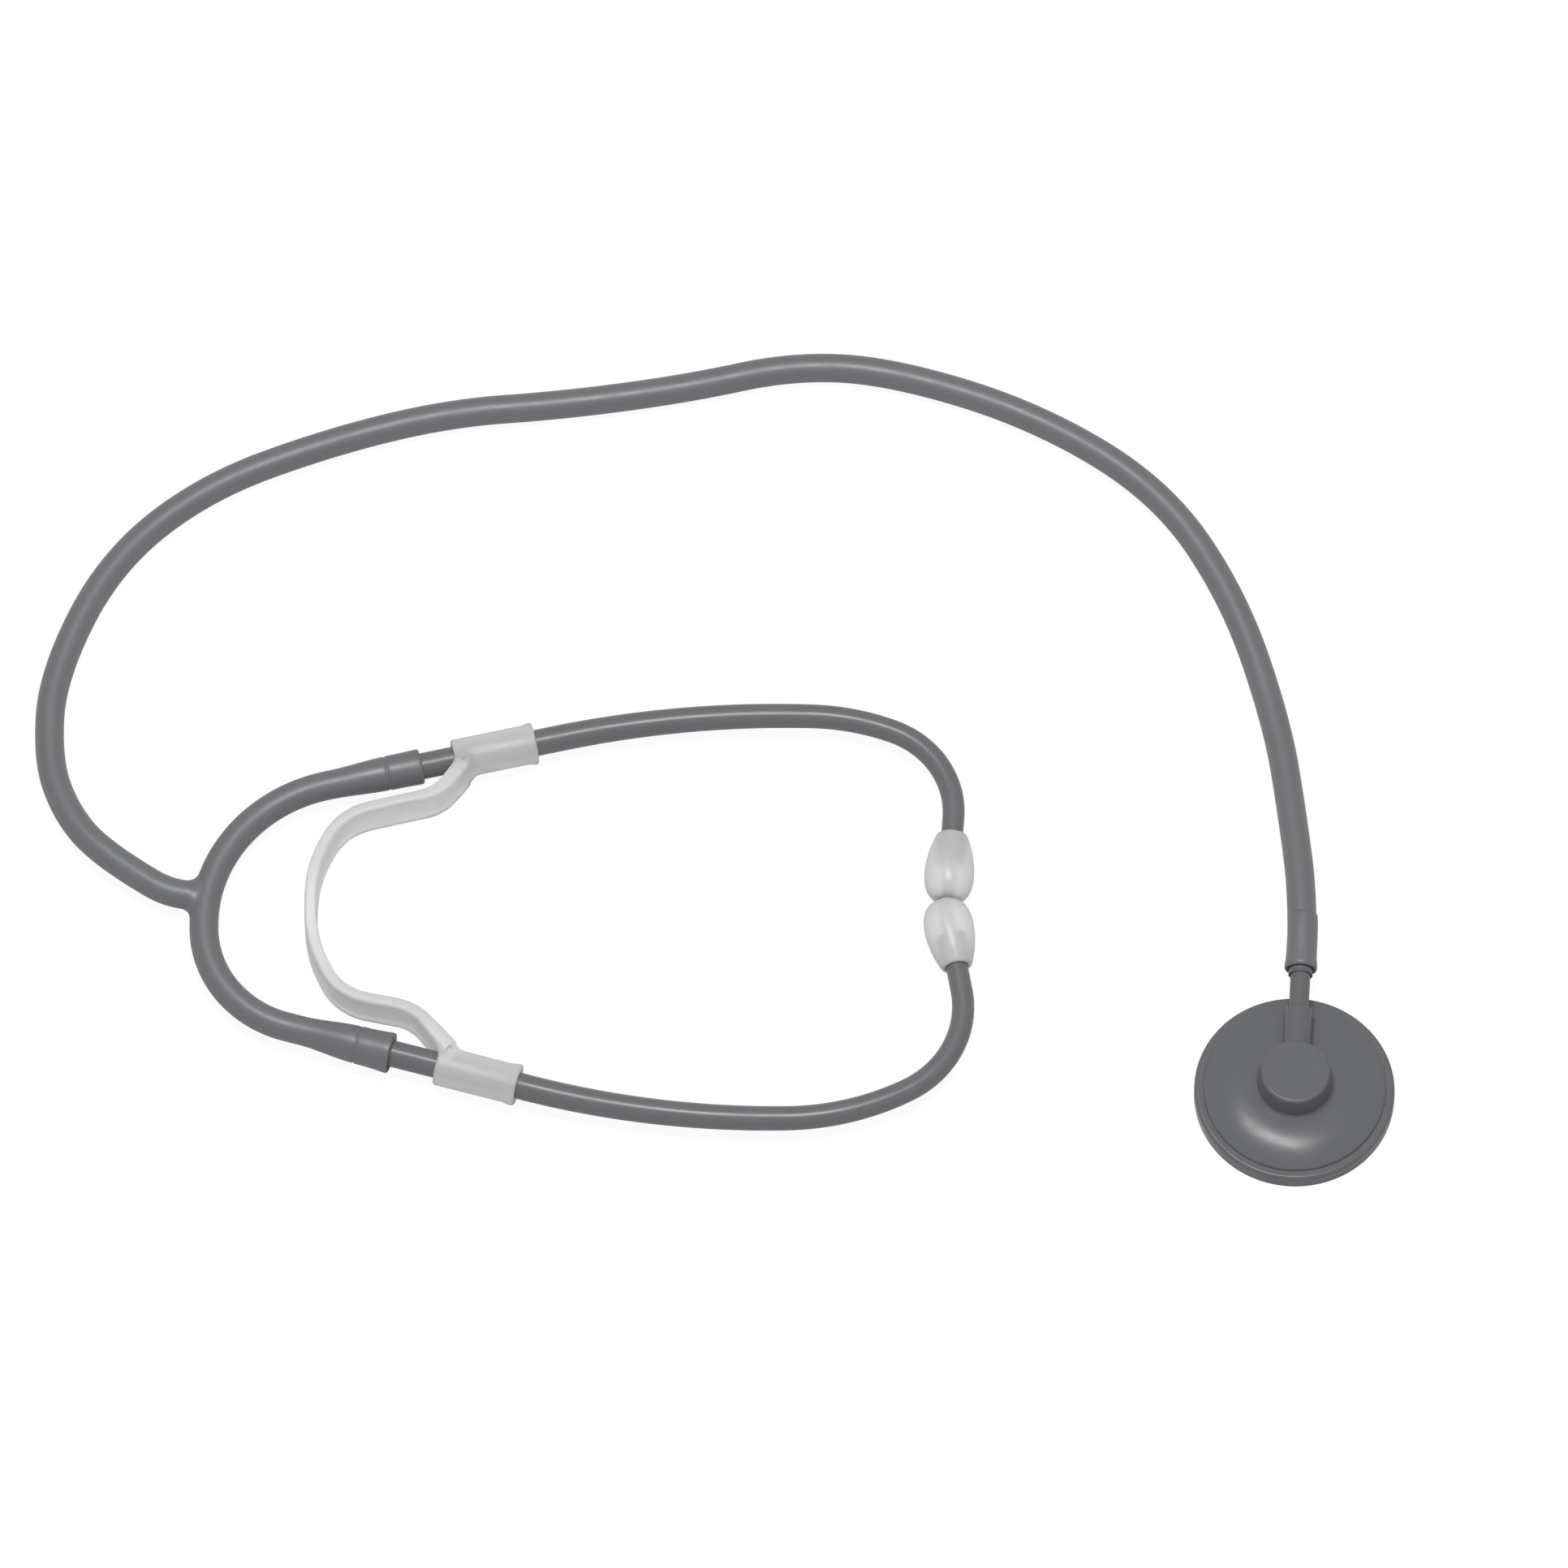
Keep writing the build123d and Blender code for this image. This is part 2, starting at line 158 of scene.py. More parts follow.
# Small forms of the pieces, in millimetres
CUFF_BORE_RADIUS = 3.27
CUFF_BORE_DEPTH = 6.0
TICK_DEPTH = 0.2
SHOULDER_DROP = 0.06
EAR_BORE_RADIUS = 1.4
EAR_BORE_DEPTH = 4.0
TIP_BORE_RADIUS = 1.3
TIP_GRIP_PLAY = 0.08
TIP_RIM = 0.2
TIP_FULLNESS = 0.85
TIP_BLUNTNESS = 2.2
SLEEVE_PLAY = 0.12
SLEEVE_EDGE = 0.4
SLEEVE_LIP = 0.3
LIP_RUN = 2.4
LIP_START = 3.0
LEAF_EDGE = 0.9
LEAF_MIDDLE = 47.75
ROOT_RUN = 16.0
ROOT_SWELL = 0.5
ROOT_RISE = 0.15
ROOT_SOFTNESS = 2.2
WEB_START = 3.4
WEB_SOFTNESS = 3.0

# Fineness of the meshes
STEP = 0.6
AROUND = 56
VOXEL = 0.4
NUDGE = 0.02
DRAWS = 4
LEAST_SLOPE = 0.25
SEAM_MARGIN = 4.0
BEVEL_STEPS = 12
CURVE_STEPS = 16
CURVE_ORDER = 3

# Camera: the photograph's view, near enough without perspective
PHOTO_SIZE = 1932.0
PIXELS_PER_MM = 5.1
ORIGIN_PIXEL = (1589.0, 1347.0)
ELEVATION = 64.0
LENS = 400.0
SENSOR = 36.0
CLIP_END = 50.0

# Light and finish
ROOM_LIGHT = 0.38
FLOOR_REACH = 3.0
FLOOR_GREY = 0.8
FLOOR_GLOW = 1.08
FLOOR_GLOW_SHARE = 0.86
TINT_SCALE = 45.0
GLOSS_SCALE = 160.0
DRIFT_DETAIL = 3.0
GLOSS_RANGE = (0.3, 0.7)
WEAVE_SCALE = 500.0
GRAIN_DETAIL = 4.0
GRAIN_HEIGHT = 0.0001


def heading_vector(degrees):
    """The level unit vector this many degrees from +X towards +Y."""
    angle = math.radians(degrees)
    return Vector((math.cos(angle), math.sin(angle), 0))


def along(point, heading, distance, height):
    """The point this far from a plan point along a heading, at a height."""
    return Vector((point[0], point[1], height)) + heading_vector(heading) * distance


def smoothstep(share):
    """A share from 0 to 1, eased in and out."""
    share = np.clip(share, 0, 1)
    return share * share * (3 - 2 * share)


def walked(start, heading, runs):
    """Points of a level line of runs, each a length and a turn: x, y, heading and distance."""
    points = []
    x, y = start
    distance = 0
    for length, turn in runs:
        count = max(1, round(length / STEP))
        half_turn = math.radians(turn / count / 2)
        chord = length / count
        for _ in range(count):
            points.append((x, y, heading, distance))
            middle = math.radians(heading) + half_turn
            x += math.cos(middle) * chord
            y += math.sin(middle) * chord
            heading += turn / count
            distance += length / count
    points.append((x, y, heading, distance))
    return np.array(points)


def rounded(corners, radii):
    """The line through corners with a bend radius at each inner corner, as walked points."""
    runs = []
    used = 0
    sides = list(zip(corners, corners[1:]))
    headings = [math.degrees(math.atan2(b[1] - a[1], b[0] - a[0])) for a, b in sides]
    lengths = [math.dist(a, b) for a, b in sides]
    for index, radius in enumerate(radii):
        turn = (headings[index + 1] - headings[index] + 180) % 360 - 180
        tangent = radius * math.tan(math.radians(abs(turn)) / 2)
        runs.append((lengths[index] - used - tangent, 0))
        runs.append((radius * math.radians(abs(turn)), turn))
        used = tangent
    runs.append((lengths[-1] - used, 0))
    return walked(corners[0], headings[0], runs)


def place_on(path, distance):
    """The centre and the level sideways vector of a walked line at a distance along it."""
    x, y, heading = (np.interp(distance, path[:, 3], path[:, column]) for column in range(3))
    beyond = distance - min(max(distance, 0), path[-1, 3])
    ahead = heading_vector(heading)
    return Vector((x, y, HEAD_HEIGHT)) + ahead * beyond, Vector((-ahead.y, ahead.x, 0))


def ring_round(centre, side, up, radius):
    """A closed ring of points about a centre."""
    angles = [2 * math.pi * step / AROUND for step in range(AROUND)]
    return [centre + (side * math.cos(angle) + up * math.sin(angle)) * radius for angle in angles]


def add_object(name, mesh, material):
    """A smooth-shaded piece of the scene."""
    mesh.materials.append(material)
    mesh.shade_smooth()
    piece = bpy.data.objects.new(name, mesh)
    bpy.context.scene.collection.objects.link(piece)
    return piece


def mesh_of_rings(name, rings, last_filled=True, looped=False):
    """A skin over closed rings of points in millimetres, with its ends filled or looped to meet."""
    size = len(rings[0])
    count = len(rings)
    vertices = [point * MM for ring in rings for point in ring]
    faces = []
    for row in range(count if looped else count - 1):
        first = row * size
        second = (row + 1) % count * size
        for step in range(size):
            after = (step + 1) % size
            faces.append((first + step, first + after, second + after, second + step))
    if not looped:
        faces.append(tuple(range(size))[::-1])
    if last_filled and not looped:
        faces.append(tuple(range((count - 1) * size, count * size)))
    mesh = bpy.data.meshes.new(name)
    mesh.from_pydata(vertices, [], faces)
    mesh.update()
    work = bmesh.new()
    work.from_mesh(mesh)
    bmesh.ops.recalc_face_normals(work, faces=work.faces)
    work.to_mesh(mesh)
    work.free()
    return mesh


def finish_piece(piece, slot, body, *nodes):
    """Hides the model's parts that a piece stands for, and hangs the piece on the body it moves with; the
    slot is not used.
    """
    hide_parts(*nodes)
    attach(piece, body)


def turned(base, axis, profile):
    """Rings turned about a level axis from a base point: the profile is radius and distance."""
    side = Vector((-axis.y, axis.x, 0)).normalized()
    up = axis.cross(side)
    return [ring_round(base + axis * distance, side, up, radius) for radius, distance in profile]


def piped(path, profile):
    """Rings along a walked line: the profile is radius and distance."""
    rings = []
    for radius, distance in profile:
        centre, side = place_on(path, distance)
        rings.append(ring_round(centre, side, Vector((0, 0, 1)), radius))
    return rings


def every_step(start, stop, radius_at):
    """Profile points at even steps from one distance to another."""
    count = max(2, round(abs(stop - start) / STEP))
    return [(radius_at(distance), distance) for distance in np.linspace(start, stop, count + 1)]


def add_camera():
    """A long lens, so that the rows of the picture map to the table as in the photograph."""
    tilt = math.radians(ELEVATION)
    target = Vector((
        (PHOTO_SIZE / 2 - ORIGIN_PIXEL[0]) / PIXELS_PER_MM,
        (ORIGIN_PIXEL[1] - PHOTO_SIZE / 2) / PIXELS_PER_MM / math.sin(tilt),
        0,
    )) * MM
    distance = PHOTO_SIZE / PIXELS_PER_MM * MM * LENS / SENSOR
    data = bpy.data.cameras.new("camera")
    data.lens = LENS
    data.sensor_width = SENSOR
    data.clip_end = CLIP_END
    camera = bpy.data.objects.new("camera", data)
    camera.location = target + Vector((0, -math.cos(tilt), math.sin(tilt))) * distance
    camera.rotation_euler = (math.pi / 2 - tilt, 0, 0)
    bpy.context.scene.collection.objects.link(camera)
    bpy.context.scene.camera = camera


def stub_path():
    """The stub of the Y: straight out of the bow, then bent to meet the free tube."""
    bend = STUB_RADIUS * math.radians(STUB_TURN)
    return walked(JUNCTION, STUB_HEADING, [(STUB_STRAIGHT, 0), (bend, -STUB_TURN)])


def add_main_tube(material):
    """The long free tube, as one smooth line from the stem to the stub of the Y."""
    mouth = along((0, 0), STEM_HEADING, TUBE_MOUTH_REACH, STEM_HEIGHT)
    leaving = along((0, 0), STEM_HEADING, TUBE_MOUTH_REACH + FIRST_RUN, STEM_HEIGHT)
    x, y, heading, _ = stub_path()[-1]
    stub_end = Vector((x, y, HEAD_HEIGHT))
    arriving = along((x, y), heading, LAST_RUN, HEAD_HEIGHT)
    points = [mouth, leaving] + [Vector(point) for point in ROUTE] + [arriving, stub_end]
    curve = bpy.data.curves.new("main_tube_run", "CURVE")
    curve.dimensions = "3D"
    curve.bevel_depth = TUBE_OD / 2 * MM
    curve.bevel_resolution = BEVEL_STEPS
    curve.resolution_u = CURVE_STEPS
    curve.use_fill_caps = True
    spline = curve.splines.new("NURBS")
    spline.points.add(len(points) - 1)
    for slot, point in zip(spline.points, points):
        slot.co = (*(point * MM), 1)
    spline.order_u = CURVE_ORDER
    spline.use_endpoint_u = True
    curve.materials.append(material)
    tube = bpy.data.objects.new("main_tube_run", curve)
    bpy.context.scene.collection.objects.link(tube)
    finish_piece(tube, "tubing", "tubing", "main_tube")

    rings = turned(mouth, heading_vector(STEM_HEADING), MOUTH_OUTLINE)
    lip = add_object("main_tube_mouth", mesh_of_rings("main_tube_mouth", rings), material)
    finish_piece(lip, "tubing", "tubing", "main_tube")


def distance_to_line(points, line):
    """The distance in plan from each point to a line of many points, and the distance along it."""
    starts = line[:-1]
    runs = line[1:] - starts
    lengths = np.linalg.norm(runs, axis=1)
    reached = np.concatenate(([0], np.cumsum(lengths)[:-1]))
    offsets = points[:, None, :] - starts[None, :, :]
    shares = np.clip((offsets * runs).sum(axis=2) / lengths ** 2, 0, 1)
    gaps = np.linalg.norm(offsets - shares[:, :, None] * runs, axis=2)
    nearest = gaps.argmin(axis=1)
    rows = np.arange(len(points))
    return gaps[rows, nearest], reached[nearest] + shares[rows, nearest] * lengths[nearest]


def soft_join(first, second, width):
    """The smaller of two distances, with the corner between them rounded."""
    share = np.clip(0.5 + 0.5 * (second - first) / width, 0, 1)
    return second + (first - second) * share - width * share * (1 - share)


def rounded_corner(first, second, radius):
    """The distance to a form held in by two limits, with the corner between them rounded."""
    outside = np.hypot(np.maximum(first, 0), np.maximum(second, 0))
    return outside + np.minimum(np.maximum(first, second), 0) - radius


def slope_of(field, points):
    """How fast a field grows along x, y and z at each point."""
    slopes = []
    for offset in np.eye(3) * NUDGE:
        slopes.append((field(points + offset) - field(points - offset)) / (2 * NUDGE))
    return np.stack(slopes, axis=1)


def grown_mesh(name, seeds, field):
    """Closed seed meshes melted into one skin, then drawn to where the field is zero."""
    work = bmesh.new()
    for seed in seeds:
        work.from_mesh(seed)
    mesh = bpy.data.meshes.new(name)
    work.to_mesh(mesh)
    work.free()
    rough = bpy.data.objects.new(name + "_rough", mesh)
    bpy.context.scene.collection.objects.link(rough)
    melt = rough.modifiers.new("melt", "REMESH")
    melt.mode = "VOXEL"
    melt.voxel_size = VOXEL * MM
    graph = bpy.context.evaluated_depsgraph_get()
    skin = bpy.data.meshes.new_from_object(rough.evaluated_get(graph))
    bpy.data.objects.remove(rough)
    skin.name = name
    flat = np.empty(len(skin.vertices) * 3)
    skin.vertices.foreach_get("co", flat)
    points = flat.reshape(-1, 3) / MM
    for _ in range(DRAWS):
        slope = slope_of(field, points)
        steepness = np.maximum((slope ** 2).sum(axis=1), LEAST_SLOPE)
        move = slope * (field(points) / steepness)[:, None]
        points -= np.clip(move, -VOXEL, VOXEL)
    skin.vertices.foreach_set("co", (points * MM).ravel())
    skin.update()
    return skin


def cut_mesh(mesh, place, away):
    """Takes off what lies beyond a plane, and leaves the cut open."""
    work = bmesh.new()
    work.from_mesh(mesh)
    whole = work.verts[:] + work.edges[:] + work.faces[:]
    bmesh.ops.bisect_plane(work, geom=whole, plane_co=place * MM, plane_no=away, clear_outer=True)
    work.to_mesh(mesh)
    work.free()


def y_path():
    """The bowed tube of the Y, from the end of the upper cuff to the end of the lower one."""
    corners = [SIDES["upper"]["cuff_end"]]
    for side in SIDES.values():
        reach = (JUNCTION[0] - side["cuff_end"][0]) / math.cos(math.radians(side["heading"]))
        corners.append(along(side["cuff_end"], side["heading"], reach, 0)[:2])
    corners.append(SIDES["lower"]["cuff_end"])
    return rounded(corners, [side["arm_bend"] for side in SIDES.values()])


def band_path():
    """The spring's band, from the sleeve of the upper side to the sleeve of the lower one."""
    upper = SIDES["upper"]
    lower = SIDES["lower"]
    corners = upper["leaf"] + lower["leaf"][::-1]
    return rounded(corners, upper["leaf_bends"] + lower["leaf_bends"][::-1])


def add_junction(path, material):
    """The fork of the Y, where the stub runs into the bowed tube with soft webs."""
    first = SIDES["upper"]["seam"]
    last = path[-1, 3] - SIDES["lower"]["seam"]
    inside = (path[:, 3] > first - SEAM_MARGIN) & (path[:, 3] < last + SEAM_MARGIN)
    bow = path[inside][:, :2]
    stub = stub_path()
    x, y, heading, length = stub[-1]
    out = heading_vector(heading)
    stub_end = Vector((x, y, HEAD_HEIGHT))
    beyond = np.array((stub_end + out * SEAM_MARGIN).xy)
    stub_line = np.vstack([stub[stub[:, 3] > WEB_START][:, :2], beyond])
    radius = TUBE_OD / 2
    overlap = SEAM_MARGIN / 2

    def field(points):
        to_bow = distance_to_line(points[:, :2], bow)[0]
        to_stub = distance_to_line(points[:, :2], stub_line)[0]
        plan = np.maximum(soft_join(to_bow, to_stub, WEB_SOFTNESS), 0)
        return np.hypot(plan, points[:, 2] - HEAD_HEIGHT) - radius

    bow_profile = every_step(first - overlap, last + overlap, lambda _: radius)
    stub_profile = every_step(0, length + overlap, lambda _: radius)
    seeds = [
        mesh_of_rings("bow_seed", piped(path, bow_profile)),
        mesh_of_rings("stub_seed", piped(stub, stub_profile)),
    ]
    mesh = grown_mesh("y_tube_junction", seeds, field)
    for distance, way in ((first, -1), (last, 1)):
        place, side = place_on(path, distance)
        cut_mesh(mesh, place, Vector((side.y, -side.x, 0)) * way)
    cut_mesh(mesh, stub_end, out)
    junction = add_object("y_tube_junction", mesh, material)
    finish_piece(junction, "tubing", "tubing", "y_tube")


def add_arm(name, side, path, material):
    """An arm of the Y with its cuff: bore, end face, moulded tick and taper."""
    radius = TUBE_OD / 2
    cuff = side["cuff_od"] / 2
    flare = side["flare"]
    mouth = cuff + flare
    tick = CUFF_LENGTH
    groove = cuff - TICK_DEPTH
    shoulder = cuff - SHOULDER_DROP

    def taper(distance):
        return shoulder - (shoulder - radius) * smoothstep((distance - tick) / CUFF_TAPER)

    profile = [(CUFF_BORE_RADIUS, CUFF_BORE_DEPTH), (CUFF_BORE_RADIUS, 0.3)]
    profile += [(CUFF_BORE_RADIUS + 0.18, 0.0), (mouth - 0.35, 0.0), (mouth - 0.1, 0.12), (mouth, 0.5)]
    profile += [(cuff + flare * 0.8, 1.6), (cuff + flare * 0.35, 3.6), (cuff, 6.0), (cuff, tick - 0.5)]
    profile += [(cuff - 0.05, tick - 0.3), (groove, tick - 0.15), (groove, tick + 0.1)]
    profile += [(shoulder, tick + 0.35)]
    profile += every_step(tick + 0.9, tick + CUFF_TAPER, taper)
    profile += every_step(tick + CUFF_TAPER + STEP, side["seam"], lambda _: radius)
    if name == "lower":
        profile = [(size, path[-1, 3] - at) for size, at in profile]
    mesh = mesh_of_rings("y_tube_arm_" + name, piped(path, profile), last_filled=False)
    arm = add_object("y_tube_arm_" + name, mesh, material)
    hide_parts("y_tube")
    start, end = (Vector((*point, HEAD_HEIGHT)) * MM for point in side["arm_sway"])
    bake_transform(arm)


def add_spring_half(name, side, path, material):
    """Half of the spring: the band on edge, which grows into the sleeve on the ear tube."""
    total = path[-1, 3]
    line = path[::2, :2]
    heading = heading_vector(side["heading"])
    half_length = SLEEVE_LENGTH / 2
    sleeve_start = along(side["cuff_end"], side["heading"], side["standoff"], HEAD_HEIGHT)
    sleeve_middle = np.array(sleeve_start + heading * half_length)
    ahead = np.array(heading)
    bore = EAR_ROOT_OD / 2 + SLEEVE_PLAY
    outer = SLEEVE_OD / 2
    half_thick = LEAF_THICKNESS / 2
    half_high = LEAF_HEIGHT / 2

    def growth(distance):
        to_end = np.minimum(distance, total - distance)
        return 1 - smoothstep(to_end / ROOT_RUN)

    def field(points):
        away, reached = distance_to_line(points[:, :2], line)
        grown = growth(reached)
        over = away - (half_thick + ROOT_SWELL * grown) + LEAF_EDGE
        level = np.abs(points[:, 2] - HEAD_HEIGHT)
        rise = level - (half_high + ROOT_RISE * grown) + LEAF_EDGE
        band = rounded_corner(over, rise, LEAF_EDGE)
        offset = points - sleeve_middle
        reach = offset @ ahead
        off_axis = np.linalg.norm(offset - reach[:, None] * ahead, axis=1)
        lip = SLEEVE_LIP * smoothstep((reach - half_length + LIP_START) / LIP_RUN)
        around = off_axis - outer - lip + SLEEVE_EDGE
        end = np.abs(reach) - half_length + SLEEVE_EDGE
        sleeve = rounded_corner(around, end, SLEEVE_EDGE)
        return np.maximum(soft_join(band, sleeve, ROOT_SOFTNESS), bore - off_axis)

    band_rings = []
    for distance in np.linspace(0, total, round(total / STEP)):
        centre, across = place_on(path, distance)
        high = Vector((0, 0, half_high))
        wide = across * half_thick
        corners = [wide + high, high - wide, -wide - high, wide - high]
        band_rings.append([centre + corner for corner in corners])
    shell = [(bore, 0), (outer, 0), (outer, SLEEVE_LENGTH), (bore, SLEEVE_LENGTH)]
    seeds = [
        mesh_of_rings("band_seed", band_rings),
        mesh_of_rings("sleeve_seed", turned(sleeve_start, heading, shell), looped=True),
    ]
    mesh = grown_mesh("spring_half_" + name, seeds, field)
    cut_mesh(mesh, Vector((0, LEAF_MIDDLE, 0)), Vector((0, -side["y_side"], 0)))
    half = add_object("spring_half_" + name, mesh, material)
    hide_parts("spring_leaf", "spring_sleeve_" + name)
    start, end = (Vector((*point, HEAD_HEIGHT)) * MM for point in side["leaf_sway"])
    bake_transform(half)


def ear_path(side):
    """A side's ear tube from inside its cuff to the end of its tip."""
    runs = [(CUFF_GRIP + side["straight"], 0)]
    runs += [(radius * math.radians(abs(turn)), turn) for radius, turn in side["bends"]]
    start = along(side["cuff_end"], side["heading"], -CUFF_GRIP, 0)
    bent = walked(start[:2], side["heading"], runs)
    x, y, heading, _ = bent[-1]
    last_run = (TIPS_MEET - y) / math.sin(math.radians(heading)) - TIP_GAP / 2
    return walked(start[:2], side["heading"], runs + [(last_run, 0)])


def add_ear_tube(name, side, path, material):
    """A rigid ear tube, bent, and tapering from the sleeve to the tip."""
    tube_end = path[-1, 3] - TIP_LENGTH + EAR_END_GRIP
    bend_start = CUFF_GRIP + side["straight"]
    root = EAR_ROOT_OD / 2
    end = EAR_END_OD / 2
    bore = EAR_BORE_RADIUS

    def radius_at(distance):
        share = (distance - bend_start) / (tube_end - bend_start)
        return root + (end - root) * min(max(share, 0), 1)

    profile = [(bore, EAR_BORE_DEPTH), (bore, 0.0), (root - 0.3, 0.0), (root, 0.3)]
    profile += every_step(0.9, tube_end - 0.3, radius_at)
    profile += [(end - 0.2, tube_end), (bore, tube_end), (bore, tube_end - EAR_BORE_DEPTH)]
    mesh = mesh_of_rings("ear_tube_run_" + name, piped(path, profile))
    tube = add_object("ear_tube_run_" + name, mesh, material)
    finish_piece(tube, "ear_tubes", "ear_tube_" + name, "ear_tube_" + name)


def add_ear_tip(name, path, material):
    """A soft egg-shaped tip, pushed over the end of its ear tube, with the sound bore through it."""
    neck = TIP_NECK_OD / 2
    belly = TIP_OD / 2
    nose = TIP_NOSE_OD / 2
    grip = EAR_END_OD / 2 + TIP_GRIP_PLAY
    grip_end = EAR_END_GRIP + TIP_RIM
    bore = TIP_BORE_RADIUS

    def egg(distance):
        if distance < TIP_BELLY:
            return neck + (belly - neck) * math.sin(math.pi / 2 * distance / TIP_BELLY) ** TIP_FULLNESS
        share = (distance - TIP_BELLY) / (TIP_LENGTH - TIP_BELLY)
        return nose + (belly - nose) * math.sqrt(max(1 - share ** TIP_BLUNTNESS, 0))

    profile = [(bore, grip_end), (grip, grip_end), (grip, TIP_RIM), (grip + TIP_RIM, 0.0), (neck - 0.15, 0.0)]
    profile += every_step(0.25, TIP_LENGTH - 0.6, egg)
    profile += [(egg(TIP_LENGTH - 0.3), TIP_LENGTH - 0.3), (egg(TIP_LENGTH - 0.08), TIP_LENGTH - 0.08)]
    profile += [(nose - 0.3, TIP_LENGTH), (bore + 0.3, TIP_LENGTH - 0.05), (bore, TIP_LENGTH - 0.4)]
    base, across = place_on(path, path[-1, 3] - TIP_LENGTH)
    direction = Vector((across.y, -across.x, 0))
    mesh = mesh_of_rings("ear_tip_soft_" + name, turned(base, direction, profile), looped=True)
    tip = add_object("ear_tip_soft_" + name, mesh, material)
    finish_piece(tip, "ear_tips", "ear_tip_" + name, "ear_tip_" + name)


def noise(nodes, links, source, scale, detail):
    """The value of a noise texture over a place in the object."""
    texture = nodes.new("ShaderNodeTexNoise")
    texture.inputs["Scale"].default_value = scale
    texture.inputs["Detail"].default_value = detail
    links.new(source, texture.inputs["Vector"])
    return texture.outputs["Fac"]


def plastic(name, dark, light, roughness, grain, bump, constants):
    """A plastic whose tint and gloss drift a little, with a fine moulded or drawn grain."""
    material = bpy.data.materials.new(name)
    material.use_nodes = True
    nodes = material.node_tree.nodes
    links = material.node_tree.links
    shader = nodes["Principled BSDF"]
    for socket, value in constants.items():
        shader.inputs[socket].default_value = value
    place = nodes.new("ShaderNodeTexCoord").outputs["Object"]
    tint = nodes.new("ShaderNodeMix")
    tint.data_type = "RGBA"
    tint.inputs["A"].default_value = (*dark, 1)
    tint.inputs["B"].default_value = (*light, 1)
    links.new(noise(nodes, links, place, TINT_SCALE, DRIFT_DETAIL), tint.inputs["Factor"])
    links.new(tint.outputs["Result"], shader.inputs["Base Color"])
    gloss = nodes.new("ShaderNodeMapRange")
    gloss.inputs["From Min"].default_value = GLOSS_RANGE[0]
    gloss.inputs["From Max"].default_value = GLOSS_RANGE[1]
    gloss.inputs["To Min"].default_value = roughness[0]
    gloss.inputs["To Max"].default_value = roughness[1]
    links.new(noise(nodes, links, place, GLOSS_SCALE, DRIFT_DETAIL), gloss.inputs["Value"])
    links.new(gloss.outputs["Result"], shader.inputs["Roughness"])
    relief = nodes.new("ShaderNodeBump")
    relief.inputs["Strength"].default_value = bump
    relief.inputs["Distance"].default_value = GRAIN_HEIGHT
    links.new(noise(nodes, links, place, grain, GRAIN_DETAIL), relief.inputs["Height"])
    links.new(relief.outputs["Normal"], shader.inputs["Normal"])
    return material


def woven_disc(name):
    """The diaphragm: a pale laminate with a faint weave."""
    material = plastic(name, dark=(0.58, 0.58, 0.56), light=(0.66, 0.66, 0.64), roughness=(0.35, 0.5),
                       grain=900.0, bump=0.1, constants={"IOR": 1.5})
    nodes = material.node_tree.nodes
    links = material.node_tree.links
    place = nodes["Texture Coordinate"].outputs["Object"]
    relief = nodes["Bump"]
    weave = nodes.new("ShaderNodeMath")
    weave.operation = "MAXIMUM"
    for index, way in enumerate(("X", "Y")):
        threads = nodes.new("ShaderNodeTexWave")
        threads.bands_direction = way
        threads.inputs["Scale"].default_value = WEAVE_SCALE
        links.new(place, threads.inputs["Vector"])
        links.new(threads.outputs["Fac"], weave.inputs[index])
    links.new(weave.outputs["Value"], relief.inputs["Height"])
    return material


def add_floor():
    """A white table that shows only the faint shadow of what lies on it."""
    mesh = bpy.data.meshes.new("floor")
    reach = FLOOR_REACH
    corners = [(-reach, -reach, 0), (reach, -reach, 0), (reach, reach, 0), (-reach, reach, 0)]
    mesh.from_pydata(corners, [], [(0, 1, 2, 3)])
    material = bpy.data.materials.new("floor")
    material.use_nodes = True
    nodes = material.node_tree.nodes
    links = material.node_tree.links
    nodes.clear()
    rays = nodes.new("ShaderNodeLightPath")
    seen = nodes.new("ShaderNodeMath")
    seen.operation = "MAXIMUM"
    links.new(rays.outputs["Is Camera Ray"], seen.inputs[0])
    links.new(rays.outputs["Is Transmission Ray"], seen.inputs[1])
    share = nodes.new("ShaderNodeMath")
    share.operation = "MULTIPLY"
    share.inputs[1].default_value = FLOOR_GLOW_SHARE
    links.new(seen.outputs["Value"], share.inputs[0])
    paper = nodes.new("ShaderNodeBsdfDiffuse")
    paper.inputs["Color"].default_value = (FLOOR_GREY, FLOOR_GREY, FLOOR_GREY, 1)
    glow = nodes.new("ShaderNodeEmission")
    glow.inputs["Color"].default_value = (1, 1, 1, 1)
    glow.inputs["Strength"].default_value = FLOOR_GLOW
    blend = nodes.new("ShaderNodeMixShader")
    links.new(share.outputs["Value"], blend.inputs[0])
    links.new(paper.outputs["BSDF"], blend.inputs[1])
    links.new(glow.outputs["Emission"], blend.inputs[2])
    out = nodes.new("ShaderNodeOutputMaterial")
    links.new(blend.outputs["Shader"], out.inputs["Surface"])
    mesh.materials.append(material)
    floor = bpy.data.objects.new("floor", mesh)
    bpy.context.scene.collection.objects.link(floor)


def add_light(name, place, aim, size, power):
    """A rectangle of light, its size in metres and its power in watts."""
    data = bpy.data.lights.new(name, "AREA")
    data.shape = "RECTANGLE"
    data.size, data.size_y = size
    data.energy = power
    light = bpy.data.objects.new(name, data)
    light.location = place
    light.rotation_euler = (Vector(aim) - Vector(place)).to_track_quat("-Z", "Y").to_euler()
    bpy.context.scene.collection.objects.link(light)


